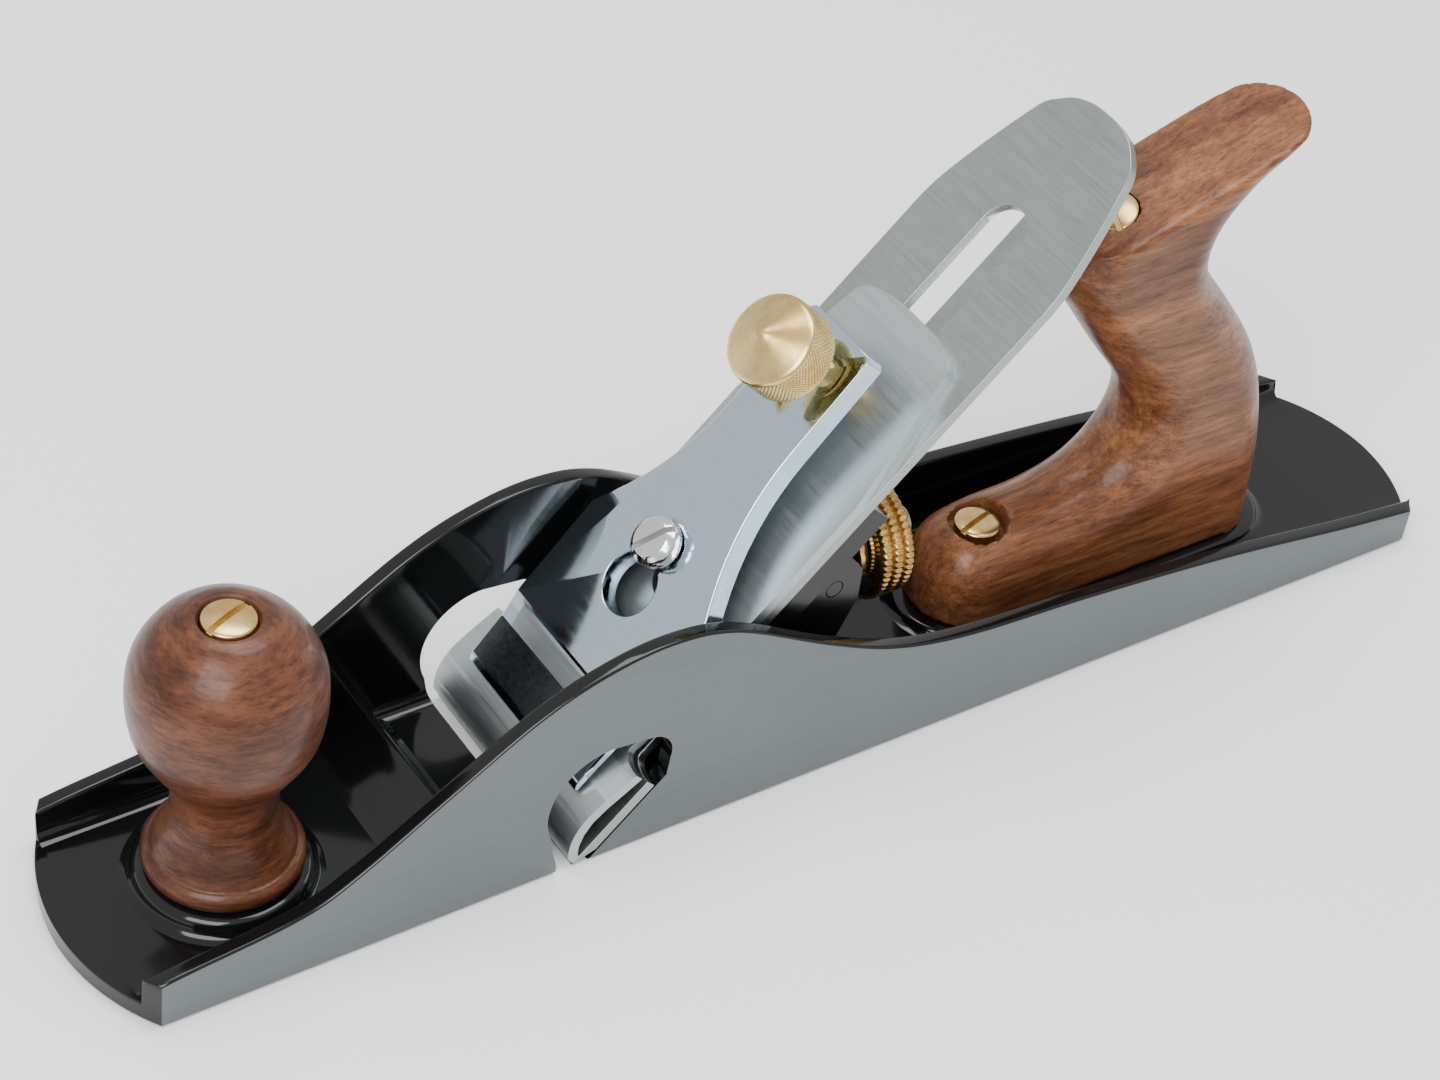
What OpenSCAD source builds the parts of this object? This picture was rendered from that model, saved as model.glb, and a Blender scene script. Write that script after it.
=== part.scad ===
// Bench rebate plane: arched cheeks with a through opening at the mouth, a bed at 45 degrees,
// a T-shaped iron with its cap iron, and a lever cap clamped by a brass thumbscrew.
// +X points to the heel, +Z up, and the sole lies on z = 0.

/* [Body] */
// Length of the sole
body_length = 330; // [300:1:360]
// Width of the sole, which is the width of the cutting edge too
body_width = 54; // [54:1:57]
// Thickness of the sole
floor_t = 4.2; // [3.6:0.1:4.4]
// Thickness of each cheek
cheek_t = 3.5; // [3:0.1:3.6]
// Radius of the toe end, seen from above
toe_radius = 46; // [40:1:60]
// Radius of the heel end, seen from above
heel_radius = 41; // [40:1:60]

/* [Iron] */
// Thickness of the iron
iron_t = 2.5; // [2:0.1:2.6]
// Width of the iron where it stands between the cheeks
iron_neck_w = 42; // [38:0.5:42]
// How far the cutting edge stands back above the sole
edge_rest = 0.2; // [0.1:0.05:0.4]
// Thickness of the cap iron
cap_iron_t = 2.4; // [2:0.1:2.5]

/* [Handles] */
// Radius of the ball of the front knob
knob_r = 19; // [17:0.5:20]
// Thickness of the tote across the hand
tote_w = 24; // [21:0.5:25]

/* [Adjusters] */
// Diameter of the depth wheel
wheel_d = 27; // [24:1:27]
// Diameter of the knurled head of the thumbscrew
thumb_d = 19.4; // [16:0.2:19.8]

/* [Hidden] */
bed_angle = 45;

$fn = 72;
eps = 0.02;
half_w = body_width / 2;
cheek_in = half_w - cheek_t;
run_fit = 0.05;          // radial clearance of a shaft that turns or slides in its hole
hole_gap = 0.1;          // gap round a fixed screw
lap = 0.05;              // gap between flat faces that slide on each other

// The bed meets the sole plane at bed_x. On the bed, u runs up the slope and v stands out of it.
bed_x = -63.5;
mouth_front_x = -70.5;
bed_relief = 0.35;       // the casting stands this far behind the bed of the frog

// Frog seat and frog
seat_top = 12;
seat_back_x = -6.5;
seat_half_w = 20;
frog_half_w = 20;
frog_foot_z = seat_top + lap;
frog_foot_t = 5.4;
frog_ledge_z = frog_foot_z + 5;   // spot faces under the washers
frog_back_x = -4;
frog_slab_t = 7;
frog_top_u = 90;
web_in = 13.9;
web_out = 18.4;

// Frog screws stand upright in the seat
frog_screw_x = -26;
frog_screw_y = 11;
frog_screw_r = 2.5;
washer_r = 5;
washer_t = 1.2;
frog_forward = 1.5;      // how far the frog slides towards the toe
frog_backward = 0.4;     // and towards the heel

// Frog adjusting screw
adjust_z = 8.6;
adjust_r = 2.5;
adjust_neck_r = 1.75;
plate_t = 1.5;
plate_screw_z = 15.2;
plate_x = frog_back_x + lap;

// Depth adjuster
stud_z = 34;
stud_low_x = -14;
stud_high_x = 27.5;
stud_r = 3.2;
boss_r = 7;
boss_end_x = -9;
groove_x = 7.8;          // middle of the groove that the yoke rides in
groove_w = 4.4;
groove_r = 6.3;
collar_r = 9.3;
collar_t = 2;
sleeve_r = 5;
wheel_x = 13;
wheel_t = 8.3;
wheel_r = wheel_d / 2;
yoke_x = -4;
yoke_z = 42;
yoke_pin_r = 2;
yoke_barrel_r = 4.2;
yoke_half_w = 13.4;
yoke_arm_t = 2.8;
yoke_pad_r = 1.6;

// Places up the bed
cap_screw_u = 56.5;      // lever cap screw
nose_u = 68;             // nose of the yoke
roller_u = 77;           // lateral roller
rivet_u = 86.5;          // pivot of the lateral lever
iron_screw_u = 107;    // cap iron screw
thumb_u = 102.1;           // thumbscrew
keyhole_drop = 10;       // from the seat of the keyhole down to its large hole

// Iron and cap iron
edge_u = edge_rest * sqrt(2) - iron_t;
iron_shoulder_u = 20.7;
iron_top_u = 175;
bevel_angle = 25;
slot_half_w = 5.5;
slot_low_u = 44;
slot_high_u = 146.5;
slot_hole_r = 8.6;
neck_half_w = iron_neck_w / 2;
cap_top_u = 123;
hump_u = 8;
hump_v = 9.2;

// Lever cap: its face rises from cap_low to cap_high
cap_low = [28, 13.8];
cap_high = [112, 19.2];
cap_half_w = 21;
cap_neck_half_w = 10;
cap_t = 5.5;
cap_toe_u = 10;
keyhole_r = 3.7;
keyhole_big_r = 6.6;
cap_slope = (cap_high[1] - cap_low[1]) / (cap_high[0] - cap_low[0]);
// A point of the middle plane, [x, z], at u up the bed and v out of it
function bed_point(u, v) = [bed_x + (u - v) / sqrt(2), (u + v) / sqrt(2)];
function cap_face_v(u) = cap_low[1] + (u - cap_low[0]) * cap_slope;

thumb_r = thumb_d / 2;
thumb_low_v = 27.8;
thumb_rim_t = 6.5;
thumb_cone_t = 3.6;
thumb_shank_r = 3.5;
thumb_spigot_r = 2.5;
thumb_collar_t = 4;

// Knob and tote
knob_x = -130;
knob_boss_r = 17.6;
knob_boss_z = 8;
pad_z = 6;
tote_nut_at = [67.5, 101];
tote_lean = 27;
toe_screw_x = 49;

// Smooth curve through a list of knots, as short straight steps
function spline_point(a, b, c, d, t) = 0.5 * (2 * b + (c - a) * t
    + (2 * a - 5 * b + 4 * c - d) * t * t + (3 * b - a - 3 * c + d) * t * t * t);
function smooth(k, steps) = let(last = len(k) - 1)
    concat([for (i = [0:last - 1], j = [0:steps - 1])
        spline_point(k[max(i - 1, 0)], k[i], k[i + 1], k[min(i + 2, last)], j / steps)], [k[last]]);
function arc(c, r, from, to, n) = [for (i = [0:n]) let(a = from + (to - from) * i / n)
    [c[0] + r * cos(a), c[1] + r * sin(a)]];

module on_bed() translate([bed_x, 0, 0]) rotate([0, -bed_angle, 0]) children();
// A side outline in x and z, pulled out across the width
module across(y0, y1) translate([0, y1, 0]) rotate([90, 0, 0]) linear_extrude(y1 - y0) children();
module both_sides() { children(); mirror([0, 1, 0]) children(); }
module slot_head(r, depth, width) translate([-r - 1, -width / 2, -depth]) cube([2 * r + 2, width, depth + 1]);
module rod_x(x0, x1, z, r) translate([x0, 0, z]) rotate([0, 90, 0]) cylinder(r = r, h = x1 - x0);
module rod_y(x, z, y0, y1, r) translate([x, y1, z]) rotate([90, 0, 0]) cylinder(r = r, h = y1 - y0);

// ---------- Body casting ----------
cheek_knots = [[-165, 9.6], [-152, 12], [-128, 15.3], [-116, 20.5], [-97, 33], [-78, 45.2], [-63, 51.2],
               [-48, 53.2], [-33, 49.9], [-10, 36.8], [8, 28.3], [28, 23.8], [60, 21.3], [100, 17],
               [135, 11.6], [165, 7.8]];

module plan(h) {
    intersection() {
        translate([-body_length / 2, -half_w, 0]) cube([body_length, body_width, h]);
        union() {
            translate([toe_radius - body_length / 2, 0, 0]) cylinder(r = toe_radius, h = h);
            translate([toe_radius - body_length / 2, -half_w, 0])
                cube([body_length - toe_radius - heel_radius, body_width, h]);
            translate([body_length / 2 - heel_radius, 0, 0]) cylinder(r = heel_radius, h = h);
        }
    }
}

module cheek_outline() polygon(concat([[-166, 0]], smooth(cheek_knots, 5), [[166, 0]]));

// The opening runs from the front of the mouth round over the iron and down the bed
module opening_outline() {
    relief = bed_relief * sqrt(2);
    polygon(concat([[mouth_front_x, -1], [mouth_front_x, 2], [-71.6, 6]],
        arc([-60, 16.2], 13.7, 205, 92, 14), arc([-51.6, 23.6], 6, 78, -12, 8),
        [[-46.4, -46.4 - bed_x - relief], [bed_x + relief - 1, -1]]));
}

module seat() {
    foot_x = bed_x + bed_relief * sqrt(2);
    across(-seat_half_w, seat_half_w)
        polygon([[foot_x, 0], [seat_back_x, 0], [seat_back_x, seat_top], [foot_x + seat_top, seat_top]]);
}

module cross_rib()
    across(-cheek_in - eps, cheek_in + eps)
        polygon([[-98, floor_t - 1], [-98, floor_t], [-92.5, 8.6], [-89.6, 12.4], [-88.7, 12.8],
            [-87.8, 12.4], [-85.6, 8], [-83.4, floor_t], [-83.4, floor_t - 1]]);

module stadium(x0, x1, w, h) {
    for (x = [x0 + w / 2, x1 - w / 2]) translate([x, 0, 0]) cylinder(d = w, h = h);
    translate([x0 + w / 2, -w / 2, 0]) cube([x1 - x0 - w, w, h]);
}

module tote_axis() translate([tote_nut_at[0], 0, tote_nut_at[1]]) rotate([0, -tote_lean, 0]) children();

module body() color("dimgray") difference() {
    union() {
        plan(floor_t);
        intersection() {
            plan(60);
            both_sides() across(cheek_in, half_w) cheek_outline();
        }
        seat();
        cross_rib();
        translate([knob_x, 0, 0]) cylinder(r = knob_boss_r, h = knob_boss_z - 2);
        translate([knob_x, 0, 0]) cylinder(r = knob_boss_r - 1.6, h = knob_boss_z);
        stadium(32, 128, 28, pad_z);
    }
    across(-half_w - 1, half_w + 1) opening_outline();
    translate([knob_x, 0, 1.5]) cylinder(r = 3 + hole_gap, h = 10);
    translate([toe_screw_x, 0, 1.5]) cylinder(r = 2.5 + hole_gap, h = 10);
    tote_axis() translate([0, 0, -109.5]) cylinder(r = 2.8 + hole_gap, h = 20);
    for (y = [-frog_screw_y, frog_screw_y])
        translate([frog_screw_x, y, 3]) cylinder(r = frog_screw_r + hole_gap, h = 20);
    rod_x(-28, seat_back_x + 1, adjust_z, adjust_r + run_fit);
}

// ---------- Front knob ----------
knob_profile = [[15, knob_boss_z + lap], [16, 10.2], [15.6, 12.4], [14.4, 13.2], [13.1, 15.6], [11.2, 20], [10.4, 26],
                [11.4, 31.5], [14.6, 37], [17.9, 43.6], [knob_r, 51.5], [18.2, 59.3], [14.8, 65.6],
                [10, 69.6], [6.4, 71]];
knob_top = 71;
nut_r = 5.3;
nut_t = 4.6;

module knob() color("saddlebrown") difference() {
    translate([knob_x, 0, 0]) rotate_extrude()
        polygon(concat([[0, knob_boss_z + lap]], smooth(knob_profile, 5), [[0, knob_top]]));
    translate([knob_x, 0, 0]) cylinder(r = 3.4, h = 80);
    translate([knob_x, 0, knob_top - nut_t]) cylinder(r = nut_r + hole_gap, h = nut_t + 1);
}

module knob_stud() color("lightslategray")
    translate([knob_x, 0, 2]) cylinder(r = 3, h = knob_top - nut_t - 2);

// A slotted brass nut with a domed head
module slotted_nut(r, t) difference() {
    union() {
        cylinder(r = r, h = t - 1);
        translate([0, 0, t - 1]) cylinder(r1 = r, r2 = r - 1.4, h = 1);
    }
    translate([0, 0, t]) slot_head(r, 1.3, 1.3);
}

module knob_nut() color("goldenrod")
    translate([knob_x, 0, knob_top - nut_t + eps]) rotate(20) slotted_nut(nut_r, nut_t + 0.6);

// ---------- Tote ----------
tote_back = [[124, pad_z + lap], [123.2, 16], [121.6, 31], [117.6, 46.5], [112, 58.5], [103, 70.8],
             [95, 81], [92.2, 88.5], [93.6, 95.8], [99.6, 102.8], [107.2, 108], [110, 112.4], [107.6, 115.6]];
tote_front = [[54.4, 97.2], [52.6, 93.4], [57, 85], [62.6, 77.6], [72.2, 64.4], [81.6, 52], [84, 43.5],
              [81.4, 35.6], [75, 30.2], [65, 27.6], [52, 27], [42, 24.6], [36.4, 18.6], [34.8, 12],
              [35.4, pad_z + lap]];
function tote_outline() = concat(smooth(tote_back, 4), smooth(tote_front, 4));
// Steps round the edges: how far in, and how far the step stands across the width
tote_steps = [[0, 0.5], [1, 0.72], [2.2, 0.88], [3.6, 1]];

module tote() color("saddlebrown") difference() {
    intersection() {
        for (s = tote_steps) across(-s[1] * tote_w / 2, s[1] * tote_w / 2)
            offset(r = -s[0]) polygon(tote_outline());
        translate([0, -20, pad_z + lap]) cube([200, 40, 200]);
    }
    tote_axis() translate([0, 0, -120]) cylinder(r = 3.2, h = 140);
    tote_axis() translate([0, 0, -3]) cylinder(r = 5.4, h = 20);
    translate([toe_screw_x, 0, 0]) cylinder(r = 2.9, h = 60);
    translate([toe_screw_x, 0, 22]) cylinder(r = 6.4, h = 20);
}

module tote_rod() color("lightslategray")
    tote_axis() translate([0, 0, -107.5]) cylinder(r = 2.8, h = 104);

module tote_nut() color("goldenrod")
    tote_axis() translate([0, 0, -3 + eps]) rotate(70) slotted_nut(5.2, 4);

module tote_toe_screw() color("goldenrod") {
    translate([toe_screw_x, 0, 2]) cylinder(r = 2.5, h = 21);
    translate([toe_screw_x, 0, 22 + eps]) rotate(15) slotted_nut(5, 3.6);
}

// ---------- Frog and its fastenings ----------
module frog_screws() color("silver")
    for (y = [-frog_screw_y, frog_screw_y]) translate([frog_screw_x, y, 0]) {
        translate([0, 0, 3.5]) cylinder(r = frog_screw_r, h = 16);
        translate([0, 0, frog_ledge_z + lap + washer_t])
            difference() {
                cylinder(r = 4.2, h = 3);
                translate([0, 0, 3]) slot_head(4.2, 1.2, 1.1);
            }
    }

module frog_screw_washers() color("silver")
    for (y = [-frog_screw_y, frog_screw_y])
        translate([frog_screw_x, y, frog_ledge_z + lap]) difference() {
            cylinder(r = washer_r, h = washer_t);
            translate([0, 0, -1]) cylinder(r = frog_screw_r + hole_gap, h = 4);
        }

// A slot along x that lets the frog slide under its screws
module sliding_slot(r, h) {
    for (x = [-frog_backward, frog_forward]) translate([x, 0, 0]) cylinder(r = r, h = h);
    translate([-frog_backward, -r, 0]) cube([frog_backward + frog_forward, 2 * r, h]);
}

frog_web = [[-50, frog_foot_z + 1], [frog_back_x - 1, frog_foot_z + 1], [frog_back_x - 1, 20], [2.5, 37], [2.5, 45],
            [0, 48], [-4, 52.5], [-14, 49.4]];

// The sloping slab and the foot in one section
frog_foot_top = frog_foot_z + frog_foot_t;
frog_section = [[bed_x + frog_foot_z + sqrt(2) * lap, frog_foot_z], bed_point(frog_top_u, -lap),
                bed_point(frog_top_u, -frog_slab_t - lap),
                [bed_x + frog_foot_top + sqrt(2) * (frog_slab_t + lap), frog_foot_top],
                [frog_back_x, frog_foot_top], [frog_back_x, frog_foot_z]];

module behind_bed() on_bed() translate([-50, -30, -100]) cube([200, 60, 100 - lap]);

module frog() color("black") difference() {
    union() {
        across(-frog_half_w, frog_half_w) polygon(frog_section);
        intersection() {
            both_sides() across(web_in, web_out) polygon(frog_web);
            behind_bed();
        }
        intersection() {
            union() {
                rod_x(-40, boss_end_x, stud_z, boss_r);
                translate([-50, -3, frog_foot_z + 1])
                    cube([boss_end_x + 50, 6, stud_z - frog_foot_z - 1]);
            }
            behind_bed();
        }
    }
    rod_x(stud_low_x - 0.5, boss_end_x + 1, stud_z, stud_r + hole_gap);
    rod_y(yoke_x, yoke_z, -30, 30, yoke_pin_r + hole_gap);
    for (y = [-frog_screw_y, frog_screw_y]) translate([frog_screw_x, y, 0]) {
        sliding_slot(frog_screw_r + 0.4, 30);
        translate([0.5, 0, frog_ledge_z]) cylinder(r = 6.3, h = 40);
    }
    on_bed() {
        translate([cap_screw_u, 0, -cap_screw_deep - 0.5])
            cylinder(r = cap_screw_r + hole_gap, h = 30);
        translate([nose_u - 4.5, -3.8, -20]) cube([10.5, 7.6, 30]);
        translate([nose_u + 2, -8, -3.4]) cube([40, 16, 10]);
        translate([rivet_u, 0, -20]) cylinder(r = 1.6 + hole_gap, h = 30);
    }
    rod_x(-12, 10, plate_screw_z, 1.5 + hole_gap);
}

// The plate screwed to the back of the frog drops into the groove of the adjusting screw
module frog_adjusting_plate() color("silver") difference() {
    translate([plate_x, -5.5, adjust_z - 2]) cube([plate_t, 11, 11]);
    rod_x(plate_x - 1, plate_x + 5, adjust_z, adjust_neck_r + 0.35);
    translate([plate_x - 1, -adjust_neck_r - 0.35, 0]) cube([5, 2 * adjust_neck_r + 0.7, adjust_z]);
    rod_x(plate_x - 1, plate_x + 5, plate_screw_z, 1.5 + hole_gap);
}

module frog_plate_screw() color("silver") {
    rod_x(-11, plate_x + plate_t, plate_screw_z, 1.5);
    difference() {
        rod_x(plate_x + plate_t, plate_x + plate_t + 1.6, plate_screw_z, 2.3);
        translate([plate_x + plate_t + 0.8, -3, plate_screw_z - 0.4]) cube([2, 6, 0.8]);
    }
}

module frog_adjusting_screw() color("silver") {
    rod_x(-24, seat_back_x + 1, adjust_z, adjust_r);
    rod_x(seat_back_x + 1, plate_x + plate_t + 0.8, adjust_z, adjust_neck_r);
    difference() {
        rod_x(plate_x + plate_t + 0.5, plate_x + plate_t + 4.5, adjust_z, 3.9);
        translate([plate_x + plate_t + 3.3, -5, adjust_z - 0.6]) cube([2, 10, 1.2]);
    }
}

// ---------- Depth adjuster ----------
module depth_stud() color("silver") rod_x(stud_low_x, stud_high_x, stud_z, stud_r);

module depth_wheel_hub() color("goldenrod") difference() {
    union() {
        rod_x(groove_x - groove_w / 2 - collar_t, groove_x - groove_w / 2, stud_z, collar_r);
        rod_x(groove_x - groove_w / 2 - eps, groove_x + groove_w / 2 + eps, stud_z, groove_r);
        rod_x(groove_x + groove_w / 2, groove_x + groove_w / 2 + collar_t, stud_z, collar_r);
        rod_x(groove_x, wheel_x + wheel_t + 0.6, stud_z, sleeve_r);
        rod_x(wheel_x + wheel_t + 0.4, wheel_x + wheel_t + 1.8, stud_z, sleeve_r + 1.4);
    }
    rod_x(0, 60, stud_z, stud_r + run_fit);
}

// Three ridges round the rim, with rounded grooves between them
wheel_rim = [[0, 0.9], [0.08, 0.97], [0.2, 1], [0.3, 0.97], [0.36, 0.91], [0.42, 0.97], [0.5, 1], [0.6, 0.97],
             [0.66, 0.91], [0.72, 0.97], [0.82, 1], [0.93, 0.97], [1, 0.9]];
module depth_wheel() color("goldenrod")
    translate([wheel_x, 0, stud_z]) rotate([0, 90, 0]) rotate_extrude()
        polygon(concat([[sleeve_r + run_fit, 0]], [for (p = wheel_rim) [wheel_r * p[1], wheel_t * p[0]]],
                       [[sleeve_r + run_fit, wheel_t]]));

module yoke() color("dimgray") difference() {
    union() {
        rod_y(yoke_x, yoke_z, 0.5 - yoke_half_w, yoke_half_w - 0.5, yoke_barrel_r);
        both_sides() {
            arm = [groove_x - yoke_x, stud_z - yoke_z];
            translate([yoke_x, yoke_half_w - yoke_arm_t, yoke_z]) rotate([0, atan2(-arm[1], arm[0]), 0])
                translate([0, 0, -2.4]) cube([norm(arm), yoke_arm_t, 4.8]);
            rod_y(groove_x, stud_z, yoke_half_w - yoke_arm_t, yoke_half_w, 2.4);
            rod_y(groove_x, stud_z, groove_r + 0.5, yoke_half_w, yoke_pad_r);
        }
        on_bed() translate([nose_u - 1.3, -3, -14]) cube([2.6, 6, iron_t + cap_iron_t + 14 - 0.4]);
    }
    rod_y(yoke_x, yoke_z, -20, 20, yoke_pin_r + run_fit);
}

module yoke_pin() color("silver") rod_y(yoke_x, yoke_z, -web_out, web_out, yoke_pin_r);

// ---------- Lever cap screw and lateral lever ----------
cap_head_r = 5.3;
cap_screw_r = 2.7;
cap_screw_deep = 9;      // how far it goes into the frog
cap_head_v = cap_face_v(cap_screw_u + cap_head_r) + 0.3;
module lever_cap_screw() color("silver") on_bed() translate([cap_screw_u, 0, 0]) {
    translate([0, 0, -cap_screw_deep]) cylinder(r = cap_screw_r, h = cap_head_v + cap_screw_deep + eps);
    difference() {
        union() {
            translate([0, 0, cap_head_v]) cylinder(r = cap_head_r, h = 2.6);
            translate([0, 0, cap_head_v + 2.6]) cylinder(r1 = cap_head_r, r2 = cap_head_r - 1.4, h = 1.2);
        }
        translate([0, 0, cap_head_v + 3.8]) rotate(-25) slot_head(cap_head_r, 1.8, 1.2);
    }
}

lever_t = 1.6;
lever_half_w = 5.4;
lever_end_u = 169.5;     // middle of the round thumb end
lever_end_r = 7.7;
lever_near_v = -1;       // front of the lever inside the recess of the frog
lever_far_v = -7;        // front of the lever behind the iron
module lateral_lever() color("silver") difference() {
    on_bed() intersection() {
        across(-lever_end_r, lever_end_r) polygon(concat([[roller_u - lever_half_w, lever_near_v - lever_t],
            [roller_u - lever_half_w, lever_near_v], [92.6, lever_near_v], [99, lever_far_v]],
            smooth([[166, lever_far_v], [171.5, lever_far_v + 0.4], [174.6, lever_far_v + 2.2],
                [175.8, lever_far_v + 4.4]], 4),
            smooth([[177.4, lever_far_v + 4], [176.2, lever_far_v + 1.2], [172.3, lever_far_v - 1.1],
                [166, lever_far_v - lever_t]], 4),
            [[98.2, lever_far_v - lever_t], [91.8, lever_near_v - lever_t]]));
        union() {
            translate([0, 0, -20]) {
                translate([roller_u, 0, 0]) cylinder(r = lever_half_w, h = 40);
                translate([roller_u, -lever_half_w, 0]) cube([90, 2 * lever_half_w, 40]);
                translate([lever_end_u, 0, 0]) cylinder(r = lever_end_r, h = 40);
            }
        }
    }
    on_bed() translate([rivet_u, 0, -20]) cylinder(r = 1.6 + run_fit, h = 30);
    on_bed() translate([roller_u, 0, -20]) cylinder(r = 1.5, h = 30);
}

module lateral_lever_rivet() color("silver") on_bed() translate([rivet_u, 0, 0]) {
    translate([0, 0, -frog_slab_t]) cylinder(r = 1.6, h = frog_slab_t + lever_near_v + 0.3);
    translate([0, 0, lever_near_v + 0.1]) cylinder(r = 3, h = 0.7);
}

module lateral_roller() color("silver") on_bed() translate([roller_u, 0, 0]) {
    translate([0, 0, lever_near_v + 0.1]) cylinder(r = 5.15, h = iron_t - lever_near_v - 0.2);
    translate([0, 0, lever_near_v - lever_t - 0.5]) cylinder(r = 1.5 - run_fit, h = lever_t + 1);
}

// ---------- Iron and cap iron ----------
iron_top_knots = [[141, 1], [147, 0.97], [157, 0.86], [166.5, 0.73], [171, 0.65], [173.6, 0.53], [175.6, 0.4],
    [176.8, 0.22], [177.1, 0.08]];
function right_half(p) = [for (i = [len(p) - 1:-1:0]) [p[i][0], -p[i][1]]];
function iron_half() = concat([[edge_u, half_w - 0.02]], [[iron_shoulder_u - 2.5, half_w - 0.02]],
    [for (i = [0:6]) let(a = 15 * i) [iron_shoulder_u + 2.45 * (1 - cos(a)), half_w - 0.02 - 6 * sin(a)]],
    [[iron_shoulder_u + 4, neck_half_w]],
    [for (k = smooth(iron_top_knots, 3)) [k[0], k[1] * neck_half_w]]);

module mirrored_outline(half) polygon(concat(half, right_half(half)));

module plane_iron() color("slategray") on_bed() difference() {
    linear_extrude(iron_t) mirrored_outline(iron_half());
    translate([edge_u, 0, iron_t]) rotate([0, bevel_angle, 0]) translate([-10, -40, -20]) cube([40, 80, 20]);
    for (u = [slot_low_u, slot_high_u])
        translate([u, 0, -1]) cylinder(r = slot_half_w, h = 5);
    translate([slot_low_u, -slot_half_w, -1]) cube([slot_high_u - slot_low_u, 2 * slot_half_w, 5]);
    translate([slot_low_u, 0, -1]) cylinder(r = slot_hole_r, h = 5);
}

hump_outer = [[-1.6, iron_t + 0.02], [-1.2, 4.8], [1.4, 7.2], [4.6, 8.7], [hump_u, hump_v], [12, 8.8],
              [17, 7.7], [23, 6.4], [30, 5.4], [36, iron_t + cap_iron_t]];
function cap_half() = concat([[-3, half_w - 0.05], [iron_shoulder_u - 2, half_w - 0.05]],
    [for (i = [0:6]) let(a = 15 * i) [iron_shoulder_u + 2.5 * (1 - cos(a)), half_w - 0.05 - 6 * sin(a)]],
    [[iron_shoulder_u + 4, neck_half_w], [88, neck_half_w], [118.4, 15.4]],
    [for (i = [1:5]) [118.4 + (cap_top_u - 118.4) * sin(18 * i), 15.4 * cos(16 * i)]]);

module cap_iron() color("lightslategray") on_bed() difference() {
    intersection() {
        union() {
            translate([34, -half_w, iron_t + 0.02]) cube([100, body_width, cap_iron_t - 0.02]);
            across(-half_w, half_w) polygon(concat(smooth(hump_outer, 4), [[36, iron_t + 0.02],
                [30, 3.2], [23, 4.2], [17, 5.4], [12, 6.5], [hump_u, 6.9], [4.8, 6.3], [2.2, 5],
                [0.6, 3.6], [0.2, iron_t + 0.02]]));
        }
        linear_extrude(20) mirrored_outline(cap_half());
    }
    translate([cap_screw_u, 0, 0]) {
        for (u = [-4, 4]) translate([u, 0, 0]) cylinder(r = 5.6, h = 20);
        translate([-4, -5.6, 0]) cube([8, 11.2, 20]);
    }
    translate([nose_u - 2.1, -4.4, 0]) cube([4.2, 8.8, 20]);
    translate([iron_screw_u, 0, 0]) cylinder(r = 3.9 + run_fit, h = 20);
}

module cap_iron_screw() color("silver") on_bed() translate([iron_screw_u, 0, 0]) {
    difference() {
        translate([0, 0, -3.2]) cylinder(r = 8, h = 3.2 - lap);
        translate([0, 0, -3.2]) mirror([0, 0, 1]) slot_head(8, 1.2, 1.4);
    }
    translate([0, 0, -1]) cylinder(r = 3.9, h = 1 + iron_t + cap_iron_t - lap);
}

// ---------- Lever cap ----------
flare_r = 64;
flare_u = 88;
function cap_plan_half() = concat([[cap_toe_u, cap_half_w], [52, cap_half_w]],
    [for (i = [1:9]) let(u = 52 + i * 4) [u, cap_neck_half_w + flare_r - sqrt(flare_r * flare_r
        - pow(max(flare_u - u, 0), 2))]],
    [[cap_high[0] - 1, cap_neck_half_w], [cap_high[0], cap_neck_half_w - 1]]);

module lever_cap() color("silver") on_bed() difference() {
    intersection() {
        across(-cap_half_w, cap_half_w) polygon([[cap_toe_u, 9.6], [cap_toe_u, 10.5], [11.6, 11.3], [14, 11.4],
            [16, 10.9], [20, 11], [21.4, 12], [25, 12.9], cap_low, cap_high,
            [cap_high[0] + 0.3, cap_high[1] - cap_t], [46, cap_face_v(46) - cap_t], [32, 9.3], [22, 9.4],
            [16, 9.6]]);
        linear_extrude(30) mirrored_outline(cap_plan_half());
    }
    translate([cap_screw_u, 0, 0]) cylinder(r = keyhole_r, h = 30);
    translate([cap_screw_u - keyhole_drop, -keyhole_r, 0]) cube([keyhole_drop, 2 * keyhole_r, 30]);
    translate([cap_screw_u - keyhole_drop, 0, 0]) cylinder(r = keyhole_big_r, h = 30);
    translate([thumb_u, 0, 0]) cylinder(r = thumb_shank_r + run_fit, h = 30);
}

module thumbscrew_stud() color("goldenrod") on_bed() translate([thumb_u, 0, 0]) {
    translate([0, 0, iron_t + cap_iron_t + 0.3]) cylinder(r = thumb_shank_r, h = thumb_low_v - 5.3);
    translate([0, 0, thumb_low_v - thumb_collar_t - 0.1]) cylinder(r = 5, h = thumb_collar_t);
    translate([0, 0, thumb_low_v - 0.5]) cylinder(r = thumb_spigot_r, h = thumb_rim_t - 1);
}

module thumbscrew() color("goldenrod") on_bed() translate([thumb_u, 0, thumb_low_v]) difference() {
    rotate_extrude() polygon([[0, 0], [thumb_r - 1, 0], [thumb_r, 1], [thumb_r, thumb_rim_t - 1],
        [thumb_r - 0.8, thumb_rim_t], [1.2, thumb_rim_t + thumb_cone_t - 0.2], [0, thumb_rim_t + thumb_cone_t]]);
    translate([0, 0, -1]) cylinder(r = thumb_spigot_r + run_fit, h = thumb_rim_t + 0.4);
}

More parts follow.
